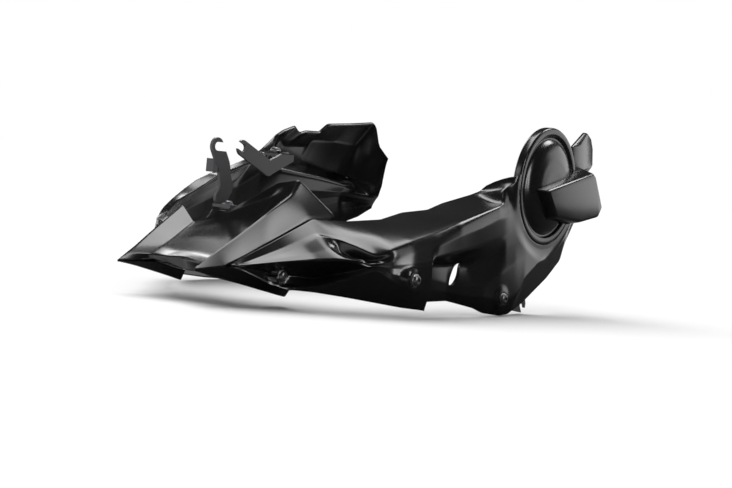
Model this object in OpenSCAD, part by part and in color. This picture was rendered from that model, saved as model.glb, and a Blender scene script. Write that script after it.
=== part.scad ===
// Motorcycle belly pan: two moulded side panels joined by a twin-fanged nose piece, with steel hangers.
// X runs to the rear from the nose tips, Y to the right of the bike, Z up from the level bottom edge.

/* [Mouldings] */
// Wall of the moulded panels
wall = 3; // [2.5:0.1:3.5]
// How far the seats of the side and pod bolts stand over the panels
seat_rise = 1.5; // [0.5:0.25:3]
// How far the seats in the scoops stand over the panels
scoop_rise = 4; // [3:0.25:6]
// Radius of the round cover over the engine's side case
cover_radius = 64; // [60:1:66]
// Height of the cover's rim over the panel in front of it
cover_rise = 1; // [0:0.5:2]
// Height of the cover's raised dish over its rim
dish_rise = 7; // [4:0.5:9]
// Depth of the cover's turned-in edge
cover_depth = 16; // [14:0.5:20]
// How far the foot-peg boss stands out over the cover's rim
boss_rise = 17; // [12:0.5:20]

/* [Hangers] */
// Thickness of the steel hangers
plate = 3; // [2:0.25:4]
// Width of a hanger strip
strip_width = 17; // [15:0.5:20]
// Width of the open slot at a hanger's end
slot_width = 8.4; // [6.4:0.1:9]

/* [Fasteners] */
// Thread diameter of the panel bolts
bolt_d = 5; // [4:0.5:6]
// Head diameter of the panel bolts
head_d = 11; // [9:0.5:13]
// Height of a bolt's dome head
head_h = 3; // [2:0.25:4]
// Gap all round a bolt in its hole
bolt_play = 0.5; // [0.3:0.1:0.8]
// Thickness of the plain washers
washer_t = 1.2; // [0.8:0.1:1.6]
// Height of the nuts
nut_h = 4.5; // [3.5:0.25:6]

/* [Hidden] */
round_faces = 48;
// Middle of the pan's length, from the nose tips
middle_x = 288;
// Centre of the round cover
cover_x = 444;
cover_z = 139;
// Places of the bolts through the panels' sides
seat_r = head_d / 2 + 3;
spot_r = head_d / 2 + 2;
scoop_seat_r = head_d / 2 + 1.5;
scoop_spot_r = head_d / 2 + 1;
seat_t = wall + seat_rise;
scoop_seat_t = wall + scoop_rise + 4;
scoop_x = 95;
scoop_z = 32;
side_x = 189;
side_z = 38.5;
pod_x = 358;
pod_z = 19;
// Depth of the pod's and the nose piece's bosses behind the seats
pod_boss = 12.5;
nose_boss = 6;
// Sleeve of the rubber well nuts
well_r = 4.5;
well_len = 14;
flange_t = 1.5;
// Moulded lugs that carry the hangers
lug = 22;
lug_t = 12;
rim_x = 317;
rim_y = 122;
rim_z = 149;
hook_x = 112;
hook_y = 14;
hook_z = 88;
// Centres of the hangers' open slots
hook_slot_x = 100;
hook_slot_z = 146;
fork_slot_x = 238;
fork_slot_z = 148;
fork_y = 104;
rear_slot_x = 424;
rear_slot_z = 10;
// See-through slot in the air duct's floor: place, half length, half width and slope
duct_slot_x = 286;
duct_slot_z = 43;
duct_slot_long = 15;
duct_slot_wide = 5;
duct_slot_turn = 52;

// Left panel's lengthwise lines, from the top edge to the bottom edge: [x, z, distance out from the middle]
left_top = [[40, 41.5, 56.6], [84, 62, 65], [131, 86.6, 76], [167, 87, 88], [211, 91, 98], [241, 99.5, 103],
    [279, 104, 108], [302, 112, 111], [346, 123, 117], [361, 128, 120], [364, 136, 125], [369, 145, 134],
    [379, 149.5, 146], [386, 152, 151], [500, 150, 148], [530, 114, 148]];
left_shoulder = [[40, 41, 57], [51, 42.2, 61], [89, 57.3, 73], [123, 74, 86], [145, 72, 105], [173, 77.4, 123],
    [245, 93.5, 139], [286, 103, 143], [349, 117, 147], [356, 131, 150], [378, 143, 152], [400, 141, 153],
    [500, 138, 150], [530, 112, 148.3]];
left_ridge = [[40, 40.6, 57.4], [50, 41.8, 61.8], [89, 54, 78], [107, 61.5, 86], [123, 72, 91], [139, 70, 104],
    [148, 64.4, 121], [156, 58, 137], [166, 65.5, 145], [192, 75, 150], [223, 84, 154], [264, 96, 157],
    [341, 114.6, 157], [356, 118, 154], [372, 128, 152], [400, 132, 153], [500, 126, 151], [530, 110, 148.6]];
left_hollow = [[40, 40.2, 57.8], [50, 41.5, 62], [89, 51, 84], [107, 56, 93], [123, 62, 105], [131, 60, 106],
    [139, 57, 104], [148, 53.5, 114], [156, 53, 133], [167, 60, 147], [192, 69, 153], [223, 78, 158],
    [264, 90, 160], [341, 109, 158], [356, 112, 156], [372, 120, 154], [400, 122, 154], [500, 120, 151.5],
    [530, 109, 148.8]];
left_edge = [[40, 39.8, 58], [49, 41, 62.5], [79, 46.2, 82], [107, 50.5, 101], [125, 53, 122], [139, 53.3, 131],
    [147, 50.5, 134], [156, 52, 139], [167, 54.5, 147], [192, 63, 155], [223, 72, 161], [264, 83, 161],
    [302, 91, 160], [341, 101, 158], [372, 108, 156], [400, 113, 155], [500, 116, 152], [530, 108.3, 149]];
left_roof = [[40, 39.4, 58], [53, 39.6, 61], [91, 38, 74], [121, 40, 92], [138, 46.5, 113], [146, 48.5, 128],
    [155, 50.5, 138], [167, 51, 147], [189, 54, 156], [214, 58, 162], [219, 60, 161.5], [270, 66, 160],
    [300, 71, 158], [352, 82, 156], [400, 90, 158], [445, 88, 159], [500, 110, 154], [530, 107.2, 149]];
left_floor = [[40, 39, 58], [54, 38.4, 60], [88, 34, 65], [112, 32.5, 76], [127, 30, 84], [138, 36, 100],
    [146, 44, 124], [155, 49.5, 138], [167, 48, 147], [189, 49, 156.5], [214, 52, 162.5], [219, 52, 144],
    [280, 52, 142], [310, 50, 144], [340, 62, 152], [360, 72, 157], [400, 80, 159], [445, 79, 160],
    [500, 106, 155], [530, 106, 149]];
left_lip = [[40, 38.5, 58], [53, 38, 60], [85, 28.5, 67.5], [103, 25, 75.5], [116, 26, 86], [121, 30, 97],
    [135, 39, 116], [147, 45.5, 132], [155, 48, 138], [167, 43, 148], [189, 40, 157], [214, 39, 163],
    [219, 40, 143], [274, 34, 144], [293, 30, 150], [325, 34, 156], [352, 46, 160], [380, 58, 161],
    [400, 64, 161], [445, 72, 160], [500, 102, 155], [530, 105, 149]];
left_keel = [[40, 38, 57.8], [53, 36.9, 60.6], [84, 26.4, 68.8], [100, 22.6, 77], [113, 22.5, 88],
    [118, 26, 102], [134, 35.5, 121], [155, 45.5, 139], [167, 36, 148], [189, 28, 155], [214, 24, 162],
    [219, 28, 142], [274, 25, 144], [293, 22, 150], [325, 20, 157], [365, 16, 161], [388, 24, 163],
    [399, 40, 163], [445, 64, 160], [500, 97, 155], [530, 104, 149]];
left_bottom = [[40, 37.3, 57.4], [54, 35.4, 61], [84, 24, 69.5], [100, 20, 78.5], [124, 18.6, 92],
    [148, 16, 110], [165, 13.7, 124], [192, 10, 144], [214, 8.5, 158], [219, 14, 140], [278, 15, 142],
    [318, 8, 150], [334, 3, 153], [365, 0, 156], [380, 1.5, 157], [415, 12, 154], [474, 39, 150],
    [507, 58, 147], [515, 76, 146.5], [530, 103, 148.6]];

// The front of the two panels is the same below the shoulder, up to a distance from the tips
function front(line, reach) = [for (p = line) if (p[0] <= reach) p];
// Right panel's lengthwise lines, in the same order
right_top = [[40, 41.5, 56.6], [84, 62, 65], [104, 68, 72], [122, 72, 98], [142, 74, 119], [157, 86, 121],
    [180, 96, 122], [204, 106, 123], [225, 117, 125], [273, 131, 128], [311, 140, 130], [322, 150, 132],
    [327, 167, 133], [342, 174, 134], [366, 181, 136], [378, 174, 138], [390, 177, 138], [418, 178, 138],
    [426, 188, 135], [466, 192, 130], [505, 197, 124], [512, 190, 121], [515, 170, 119], [530, 155, 114]];
right_shoulder = [[40, 41, 57], [51, 42.2, 61], [89, 57.3, 73], [104, 64, 84], [122, 68, 105], [136, 66.6, 126],
    [149, 78.4, 130], [164, 89, 131], [183, 100.5, 132], [202, 110.5, 133], [223, 118.5, 134], [236, 121, 135],
    [284, 136.5, 138], [314, 146, 141], [327, 150, 150], [342, 158, 154], [366, 164, 158], [378, 158, 160],
    [418, 160, 160], [426, 168, 158], [466, 170, 154], [505, 168, 146], [512, 156, 128], [530, 146, 116]];
right_ridge = [[40, 40.6, 57.4], [50, 41.8, 61.8], [89, 54, 78], [107, 60, 92], [122, 62, 108], [139, 62, 129],
    [150, 70, 133], [164, 80, 136], [183, 90, 140], [202, 98, 144], [236, 108, 149], [284, 122, 156],
    [314, 132, 163], [327, 138, 167], [342, 142, 170], [366, 142, 172], [412, 136, 173], [440, 134, 172],
    [492, 128, 166], [512, 124, 150], [530, 120, 118]];
right_hollow = concat(front(left_hollow, 125), [[139, 57, 130], [156, 58, 137], [167, 66, 141], [192, 80, 149],
    [223, 92, 154], [264, 104, 159], [300, 113, 163], [327, 130, 166], [342, 134, 165], [366, 135, 162],
    [412, 130, 161], [440, 128, 160], [492, 122, 156], [512, 118, 146], [530, 114, 120]]);
right_edge = concat(front(left_edge, 156), [[167, 58, 147], [192, 68, 154], [213, 78, 158], [247, 88, 161],
    [302, 104, 163], [340, 126, 160], [365, 128, 152], [412, 124, 149], [440, 122, 148], [492, 116, 147],
    [512, 112, 142], [530, 108, 122]]);
right_roof = concat(front(left_roof, 189), [[216, 62, 161], [300, 82, 166], [352, 100, 164], [412, 108, 160],
    [492, 110, 153], [530, 105, 125]]);
right_floor = concat(front(left_floor, 189), [[216, 50, 162], [300, 64, 166], [352, 84, 165], [412, 94, 162],
    [492, 104, 155], [530, 102, 127]]);
right_lip = concat(front(left_lip, 189), [[216, 38, 162], [300, 46, 166], [352, 64, 165], [412, 78, 162],
    [492, 96, 155], [530, 99, 129]]);
right_keel = concat(front(left_keel, 189), [[216, 24, 160], [300, 24, 164], [365, 36, 164], [412, 54, 160],
    [492, 86, 153], [530, 96, 131]]);
right_bottom = concat(front(left_bottom, 192), [[216, 6, 154], [260, 2, 160], [300, 0, 160], [340, 6, 160],
    [365, 16, 160], [412, 34, 156], [474, 62, 152], [515, 80, 140], [530, 92, 132]]);

// Nose piece's lines from the tips to the rear, across from the left fang's foot to the right fang's: [x, y, z]
nose_rows = [
    // Near fang's inner foot
    [[3.4, -46.4, 33.6], [20, -44, 30.5], [40, -41, 26.5], [62, -40, 23], [90, -41, 19], [120, -44, 13], [130, -44, 11]],
    // Near keel
    [[2.6, -47, 33.6], [14, -47.6, 32], [33, -48.5, 29], [64, -50, 22], [95, -51, 15.5], [124, -52, 10], [131, -52, 9]],
    // Near chine
    [[2.6, -47.4, 35], [20, -50, 36.5], [39, -52.8, 38], [56, -56, 36.5], [86, -60.5, 27.5], [106, -64.5, 22], [118, -68, 20]],
    // Near seam
    [[2.6, -47.4, 36], [20, -50, 38], [39, -52.8, 39.8], [60, -57, 49.8], [88, -61.5, 63.5], [131, -72, 87], [162, -79, 91]],
    // Near ridge
    [[2.6, -46.9, 36.8], [14, -47.8, 44], [30, -49.3, 53.5], [60, -52, 71.5], [88, -54.5, 89], [119, -57, 107.5], [131, -56, 122]],
    // Near edge of the web
    [[30, -36, 30.5], [21, -37, 40.4], [39, -35, 44], [65, -35, 58], [101, -34, 77], [118, -36, 104], [121, -38, 117]],
    // Web
    [[34, -10, 30], [31, -8, 41.5], [44, -8, 47], [72, -8, 62], [96, -8, 78], [106, -10, 90], [109, -12, 98]],
    // Valley
    [[32, 12, 34.5], [28, 12, 40.5], [42, 12, 45.5], [69, 12, 60], [90, 9, 73], [100, 4, 82], [103, 2, 87.5]],
    // Far edge of the web
    [[29, 27, 36.3], [27, 28, 40.4], [43, 29, 48], [56, 30, 54.7], [72, 32, 63], [86, 33.5, 70], [89, 34, 71.4]],
    // Far ridge
    [[3.6, 46.9, 33.2], [14, 47.6, 40], [25, 48.5, 46.5], [46, 50, 60], [69, 52, 73.5], [90, 54, 85.5], [93, 54, 87]],
    // Far seam
    [[3.6, 47.4, 32.4], [20, 50, 36], [39, 52.8, 39], [56, 56, 47], [74, 58.5, 56], [92, 61.5, 66], [108, 65, 74]],
    // Far chine
    [[3.6, 47.4, 31.6], [20, 50, 34.5], [39, 52.8, 36.5], [56, 56, 34], [74, 58.5, 29.5], [92, 61, 25], [108, 64.5, 22]],
    // Far keel
    [[3.6, 47, 31.2], [14, 47, 29.4], [26, 47, 27], [48, 47, 22.5], [71, 46.5, 17.6], [89, 46, 13.4], [92, 46, 13]],
    // Far fang's inner foot
    [[4.4, 46.4, 31.2], [20, 39, 32.2], [38, 31, 33], [50, 31.5, 30.5], [64, 32.5, 27.8], [80, 34, 25.2], [84, 34, 25]]];

// Wall at the panels' front tips, and the length over which it grows
tip_wall = 1;
tip_run = 50;
// Lengthwise stations at which the panels' sections are taken
left_stations = [40, 46, 52, 60, 70, 80, 89, 98, 107, 113, 119, 123, 127, 131, 135, 139, 143, 148, 155, 161,
    167, 178, 189, 200, 208, 214, 219, 235, 250, 265, 280, 293, 310, 325, 340, 349, 356, 361, 366, 372, 379,
    386, 400, 420, 445, 474, 500, 515, 530];
right_stations = [40, 46, 52, 60, 70, 80, 89, 98, 107, 113, 119, 123, 127, 131, 136, 142, 149, 157, 164, 180,
    192, 204, 223, 236, 260, 284, 300, 311, 322, 327, 334, 342, 352, 366, 372, 378, 390, 404, 418, 426, 446,
    466, 486, 505, 512, 515, 522, 530];

// Last point of a line that lies at or before x
function span_at(line, x, i = 0) = i + 2 < len(line) && line[i + 1][0] <= x ? span_at(line, x, i + 1) : i;
// Straight-line value of a line at x
function line_at(line, x) =
    let (i = span_at(line, x), a = line[i], b = line[i + 1], t = (x - a[0]) / (b[0] - a[0])) a + (b - a) * t;
// The lines where a section crosses them at x
function section_at(lines, x) = [for (line = lines) line_at(line, x)];
// Distance out from the middle of a panel's own surface at x and z, coming down from the top edge
function surface_out(lines, x, z) = let (r = section_at(lines, x),
    k = [for (i = [0 : len(r) - 2]) if (r[i][1] >= z && r[i + 1][1] <= z) i][0],
    t = (r[k][1] - z) / (r[k][1] - r[k + 1][1])) r[k][2] + (r[k + 1][2] - r[k][2]) * t;
// Grid of outer points over the stations, with extra rows between the lines
function panel_grid(lines, stations, side, steps) = [for (x = stations)
    [for (k = [0 : len(lines) - 1]) let (a = line_at(lines[k], x), b = line_at(lines[min(k + 1, len(lines) - 1)], x))
        for (s = [0 : (k < len(lines) - 1 ? steps[k] - 1 : 0)])
            let (p = a + (b - a) * s / max(1, k < len(lines) - 1 ? steps[k] : 1)) [x, side * p[2], p[1]]]];
// Unit normal of the grid at one point
function grid_normal(g, i, j) =
    let (a = g[min(i + 1, len(g) - 1)][j] - g[max(i - 1, 0)][j],
        b = g[i][min(j + 1, len(g[0]) - 1)] - g[i][max(j - 1, 0)], n = cross(a, b)) n / norm(n);
// Closed sheet of even thickness on the inner side of a grid, each row of points with its own thickness
module sheet(g, thickness, turn) {
    n = len(g);
    m = len(g[0]);
    outer = [for (i = [0 : n - 1]) for (j = [0 : m - 1]) g[i][j]];
    inner = [for (i = [0 : n - 1]) for (j = [0 : m - 1]) g[i][j] + turn * thickness[i] * grid_normal(g, i, j)];
    function quad(a, b, c, d) = turn > 0 ? [[a, b, c], [a, c, d]] : [[c, b, a], [d, c, a]];
    o = n * m;
    faces = [
        for (i = [0 : n - 2]) for (j = [0 : m - 2]) let (a = i * m + j, b = a + m)
            each concat(quad(a, b, b + 1, a + 1), quad(o + a, o + a + 1, o + b + 1, o + b)),
        for (i = [0 : n - 2]) let (a = i * m, b = a + m, c = a + m - 1, d = b + m - 1)
            each concat(quad(b, a, o + a, o + b), quad(c, d, o + d, o + c)),
        for (j = [0 : m - 2]) let (a = j, b = (n - 1) * m + j)
            each concat(quad(a, a + 1, o + a + 1, o + a), quad(b + 1, b, o + b, o + b + 1))];
    polyhedron(concat(outer, inner), faces);
}
// What is drawn flat in XY, set upright along X and Z and standing from out_a to out_b on the left side
module left_slab(out_a, out_b) translate([0, -out_a, 0]) rotate([90, 0, 0]) linear_extrude(out_b - out_a) children();
// A cylinder across the pan on the left side, from out_a to out_b
module left_rod(x, z, r, out_a, out_b) translate([x, -out_a, z]) rotate([90, 0, 0]) cylinder(out_b - out_a, r, r,
    $fn = round_faces);
// The same on the right side
module right_rod(x, z, r, out_a, out_b) mirror([0, 1, 0]) left_rod(x, z, r, out_a, out_b);

// Round cover over the engine's side case, turned about its own axis
module cover() {
    r = cover_radius;
    top = cover_out;
    translate([cover_x, 0, cover_z]) rotate([90, 0, 0]) rotate_extrude($fn = 72) polygon([
        [r, top - cover_depth], [r, top - 2], [r - 2, top], [r - 8, top], [r - 10, top - 2.5], [r - 13, top - 2.5],
        [r - 21, top + dish_rise - 1], [r - 27, top + dish_rise], [0, top + dish_rise],
        [0, top + dish_rise - wall], [r - 27.5, top + dish_rise - wall], [r - 22.5, top + dish_rise - 1.5 - wall],
        [r - 14, top - 2.5 - wall], [r - 9, top - 2.5 - wall], [r - 7, top - wall], [r - wall, top - wall],
        [r - wall, top - cover_depth]]);
}
// Boss over the foot-peg pivot: solid, or the hollow behind it
module boss(inset) hull() {
    left_slab(cover_out + boss_rise - 1 - inset, cover_out + boss_rise - inset)
        polygon([[412 + inset, 135 - inset], [516, 159 - inset], [523 - inset, 155 - inset], [547 - inset, 122],
            [539 - inset, 111 + inset], [496, 104 + inset], [438 + inset, 107 + inset]]);
    left_slab(cover_out - 8 - 2 * inset, cover_out - 7 - 2 * inset)
        polygon([[404 + inset, 137 - inset], [522, 166 - inset], [530 - inset, 160 - inset], [553 - inset, 122],
            [543 - inset, 106 + inset], [498, 98 + inset], [432 + inset, 101 + inset]]);
}
// Ear behind the cover
module ear() hull() {
    left_slab(cover_out - 18, cover_out - 15)
        polygon([[545, 205], [554, 205], [565, 199], [572, 188], [576, 168], [562, 158]]);
    left_slab(cover_out - 9, cover_out - 6) polygon([[500, 186], [520, 188], [524, 160], [502, 165]]);
}
// See-through slot in the air duct's floor
module duct_slot() left_slab(120, 170) translate([duct_slot_x, duct_slot_z]) rotate(duct_slot_turn)
    scale([1, duct_slot_wide / duct_slot_long]) circle(duct_slot_long, $fn = 24);

left_lines = [left_top, left_shoulder, left_ridge, left_hollow, left_edge, left_roof, left_floor, left_lip,
    left_keel, left_bottom];
right_lines = [right_top, right_shoulder, right_ridge, right_hollow, right_edge, right_roof, right_floor,
    right_lip, right_keel, right_bottom];
// Wall of the panels at a station, thinned towards their front tips
function wall_at(x) = min(wall, tip_wall + (x - left_stations[0]) * (wall - tip_wall) / tip_run);
// Extra rows between one line and the next
row_steps = [2, 1, 1, 1, 1, 1, 1, 1, 2];
// Faces of the seats, taken from the panels' own surfaces
scoop_out = surface_out(left_lines, scoop_x, scoop_z) + scoop_rise;
side_out = surface_out(left_lines, side_x, side_z) + seat_rise;
pod_out = surface_out(left_lines, pod_x, pod_z) + seat_rise;
// Face of the cover's rim, taken from the panel in front of it
cover_out = surface_out(left_lines, cover_x - cover_radius - 5, cover_z - 30) + cover_rise;

module left_panel() {
    color([0.05, 0.05, 0.055]) difference() {
        union() {
            difference() {
                sheet(panel_grid(left_lines, left_stations, -1, row_steps), [for (x = left_stations) wall_at(x)], 1);
                left_rod(cover_x, cover_z, cover_radius - wall / 2, 100, 200);
            }
            cover();
            boss(0);
            ear();
            left_rod(scoop_x, scoop_z, scoop_seat_r, scoop_out - scoop_seat_t, scoop_out);
            left_rod(side_x, side_z, seat_r, side_out - seat_t, side_out);
            left_rod(pod_x, pod_z, seat_r, pod_out - pod_boss, pod_out);
        }
        boss(wall);
        duct_slot();
        left_rod(scoop_x, scoop_z, scoop_spot_r, scoop_out, scoop_out + 10);
        left_rod(side_x, side_z, spot_r, side_out, side_out + 10);
        left_rod(pod_x, pod_z, spot_r, pod_out, pod_out + 10);
        left_rod(scoop_x, scoop_z, bolt_d / 2 + bolt_play, 0, 200);
        left_rod(side_x, side_z, well_r + bolt_play, 0, 200);
        left_rod(pod_x, pod_z, bolt_d / 2 + bolt_play, 0, 200);
    }
}
module right_panel() {
    color([0.05, 0.05, 0.055]) difference() {
        union() {
            sheet(panel_grid(right_lines, right_stations, 1, row_steps), [for (x = right_stations) wall_at(x)], -1);
            right_rod(scoop_x, scoop_z, scoop_seat_r, scoop_out - scoop_seat_t, scoop_out);
            right_rod(side_x, side_z, seat_r, side_out - seat_t, side_out);
            translate([rim_x - lug / 2, rim_y - lug / 2, rim_z - wall]) cube([lug, lug + 1, wall]);
        }
        right_rod(scoop_x, scoop_z, scoop_spot_r, scoop_out, scoop_out + 10);
        right_rod(side_x, side_z, spot_r, side_out, side_out + 10);
        right_rod(scoop_x, scoop_z, bolt_d / 2 + bolt_play, 0, 200);
        right_rod(side_x, side_z, well_r + bolt_play, 0, 200);
        translate([rim_x, rim_y, rim_z - 10]) cylinder(20, r = bolt_d / 2 + bolt_play, $fn = round_faces);
    }
}
// Lug behind the web that carries the front hanger, with a foot under the web
module hook_lug() {
    back = hook_x + lug / 2;
    upright(hook_y - lug / 2, lug) polygon([[back - 34, hook_z - 22], [back - 27, hook_z - 11.5],
        [back - 20, hook_z - 3], [back - 20, hook_z], [back, hook_z], [back, hook_z - lug_t],
        [back - 18, hook_z - lug_t], [back - 26, hook_z - lug_t - 8]]);
}
module nose_piece() {
    g = [for (j = [0 : len(nose_rows[0]) - 1]) [for (row = nose_rows) row[j]]];
    color([0.04, 0.04, 0.045]) difference() {
        union() {
            sheet(g, [1, 2, wall, wall, wall, wall, wall], -1);
            left_rod(scoop_x, scoop_z, scoop_seat_r + 2, scoop_out - scoop_seat_t - nose_boss, scoop_out - scoop_seat_t);
            right_rod(scoop_x, scoop_z, scoop_seat_r + 2, scoop_out - scoop_seat_t - nose_boss, scoop_out - scoop_seat_t);
            hook_lug();
        }
        left_rod(scoop_x, scoop_z, scoop_seat_r + 0.5, scoop_out - scoop_seat_t, scoop_out);
        right_rod(scoop_x, scoop_z, scoop_seat_r + 0.5, scoop_out - scoop_seat_t, scoop_out);
        left_rod(scoop_x, scoop_z, bolt_d / 2 + bolt_play, 0, 200);
        right_rod(scoop_x, scoop_z, bolt_d / 2 + bolt_play, 0, 200);
        translate([hook_x, hook_y, hook_z - 30]) cylinder(40, r = bolt_d / 2 + bolt_play, $fn = round_faces);
    }
}

// Flat outline of a strip along a list of centre points
module strip(points, w) for (i = [0 : len(points) - 2]) hull() {
    translate(points[i]) circle(w / 2, $fn = 32);
    translate(points[i + 1]) circle(w / 2, $fn = 32);
}
// What is drawn flat in XY, set upright along X and Z between two distances to the right of the middle
module upright(y, t) translate([0, y + t, 0]) rotate([90, 0, 0]) linear_extrude(t) children();
// Upright hole through everything at a point
module drill(x, y, z) translate([x, y, z - 40]) cylinder(80, r = bolt_d / 2 + bolt_play, $fn = round_faces);

// Front hanger: an upright strip with a hooked end, bent over a foot on the nose piece
module hook_bracket() color([0.2, 0.2, 0.21]) difference() {
    union() {
        upright(hook_y + lug / 2 - plate, plate)
            strip([[hook_slot_x, hook_slot_z], [112, 128], [119, 106], [hook_x, hook_z + strip_width / 2]],
                strip_width);
        translate([hook_x - strip_width / 2, hook_y - lug / 2, hook_z]) cube([strip_width, lug, plate]);
    }
    upright(hook_y, lug) {
        translate([hook_slot_x, hook_slot_z]) circle(d = slot_width, $fn = round_faces);
        translate([hook_slot_x, hook_slot_z - slot_width / 2]) square([strip_width, slot_width]);
    }
    drill(hook_x, hook_y, hook_z);
}
// Side hanger: a forked strip with a bent tab under the right panel's lug
module fork_bracket() color([0.2, 0.2, 0.21]) difference() {
    tab_z = rim_z - wall - plate;
    union() {
        upright(fork_y, plate) {
            strip([[fork_slot_x, fork_slot_z], [286, 129]], strip_width);
            polygon([[280, 135], [283, 121], [290, 122], [rim_x + lug / 2, tab_z - 4], [rim_x + lug / 2, tab_z + plate],
                [rim_x - lug / 2, tab_z + plate]]);
        }
        translate([rim_x - lug / 2, fork_y, tab_z]) cube([lug, rim_y + lug / 2 - 4 - fork_y, plate]);
    }
    upright(fork_y - 1, plate + 2) translate([fork_slot_x, fork_slot_z]) rotate(158) {
        circle(d = slot_width, $fn = round_faces);
        translate([0, -slot_width / 2]) square([strip_width, slot_width]);
    }
    drill(rim_x, rim_y, rim_z);
}
// Rear hanger: a forked strip bolted inside the left panel's pod
module rear_bracket() color([0.2, 0.2, 0.21]) difference() {
    left_slab(pod_out - pod_boss - plate, pod_out - pod_boss)
        strip([[pod_x, pod_z], [rear_slot_x, rear_slot_z]], strip_width);
    left_slab(100, 170) translate([rear_slot_x, rear_slot_z]) rotate(-55) {
        circle(d = slot_width, $fn = round_faces);
        translate([0, -slot_width / 2]) square([strip_width, slot_width]);
    }
    left_rod(pod_x, pod_z, bolt_d / 2 + bolt_play, 100, 200);
}

// Bolt with a domed head standing on z = 0, and its shank below
module bolt(grip) {
    rotate_extrude($fn = round_faces) polygon([[0, -grip], [bolt_d / 2, -grip], [bolt_d / 2, 0], [head_d / 2, 0],
        [head_d / 2, head_h * 0.4], [head_d / 2 - 1.2, head_h * 0.8], [head_d / 4, head_h], [0, head_h]]);
}
// Plain washer standing on z = 0
module washer() difference() {
    cylinder(washer_t, d = head_d + 1, $fn = round_faces);
    translate([0, 0, -1]) cylinder(washer_t + 2, d = bolt_d + 0.4, $fn = round_faces);
}
// Hexagon nut hanging below z = 0
module nut() translate([0, 0, -nut_h]) difference() {
    cylinder(nut_h, d = bolt_d * 1.8, $fn = 6);
    translate([0, 0, -1]) cylinder(nut_h + 2, d = bolt_d + 0.1, $fn = round_faces);
}
// Rubber well nut: a flange on z = 0 and a sleeve below
module well_nut() difference() {
    union() {
        cylinder(flange_t, r = well_r + 2.5, $fn = round_faces);
        translate([0, 0, -well_len]) cylinder(well_len, r = well_r, $fn = round_faces);
    }
    translate([0, 0, -well_len - 1]) cylinder(well_len + flange_t + 2, d = bolt_d + 0.1, $fn = round_faces);
}
// Children turned from +Z to look out of the left side
module facing_left(x, z, out) translate([x, -out, z]) rotate([90, 0, 0]) children();
// Children on the left side and mirrored on the right
module both_sides() {
    children();
    mirror([0, 1, 0]) children();
}

module scoop_bolts() color([0.1, 0.1, 0.11]) both_sides()
    facing_left(scoop_x, scoop_z, scoop_out + washer_t) bolt(washer_t + scoop_seat_t + nose_boss + nut_h + 1.5);
module scoop_washers() color([0.35, 0.35, 0.37]) both_sides() facing_left(scoop_x, scoop_z, scoop_out) washer();
module scoop_nuts() color([0.35, 0.35, 0.37]) both_sides()
    facing_left(scoop_x, scoop_z, scoop_out - scoop_seat_t - nose_boss) nut();
module side_bolts() color([0.1, 0.1, 0.11]) both_sides()
    facing_left(side_x, side_z, side_out + flange_t + washer_t) bolt(well_len);
module side_washers() color([0.35, 0.35, 0.37]) both_sides()
    facing_left(side_x, side_z, side_out + flange_t) washer();
module side_well_nuts() color([0.03, 0.03, 0.03]) both_sides() facing_left(side_x, side_z, side_out) well_nut();
module pod_bolt() color([0.1, 0.1, 0.11])
    facing_left(pod_x, pod_z, pod_out + washer_t) bolt(washer_t + pod_boss + plate + nut_h + 1.5);
module pod_washer() color([0.35, 0.35, 0.37]) facing_left(pod_x, pod_z, pod_out) washer();
module pod_nut() color([0.35, 0.35, 0.37]) facing_left(pod_x, pod_z, pod_out - pod_boss - plate) nut();
module rim_bolt() color([0.1, 0.1, 0.11])
    translate([rim_x, rim_y, rim_z + washer_t]) bolt(washer_t + wall + plate + nut_h + 1.5);
module rim_washer() color([0.35, 0.35, 0.37]) translate([rim_x, rim_y, rim_z]) washer();
module rim_nut() color([0.35, 0.35, 0.37]) translate([rim_x, rim_y, rim_z - wall - plate]) nut();
module hook_bolt() color([0.1, 0.1, 0.11])
    translate([hook_x, hook_y, hook_z + plate + washer_t]) bolt(washer_t + plate + lug_t + nut_h + 1.5);
module hook_washer() color([0.35, 0.35, 0.37]) translate([hook_x, hook_y, hook_z + plate]) washer();
module hook_nut() color([0.35, 0.35, 0.37]) translate([hook_x, hook_y, hook_z - lug_t]) nut();

module place() translate([-middle_x, 0, 0]) children();
place() left_panel();
place() right_panel();
place() nose_piece();
place() hook_bracket();
place() fork_bracket();
place() rear_bracket();
place() scoop_bolts();
place() scoop_washers();
place() scoop_nuts();
place() side_bolts();
place() side_washers();
place() side_well_nuts();
place() pod_bolt();
place() pod_washer();
place() pod_nut();
place() rim_bolt();
place() rim_washer();
place() rim_nut();
place() hook_bolt();
place() hook_washer();
place() hook_nut();
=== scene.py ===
"""Motorcycle belly pan: moulded panels, nose piece, hangers and bolts over the CAD frame, in metres."""

import math

import bmesh
import bpy
import numpy as np
from mathutils import Matrix, Vector
from mathutils.bvhtree import BVHTree

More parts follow.
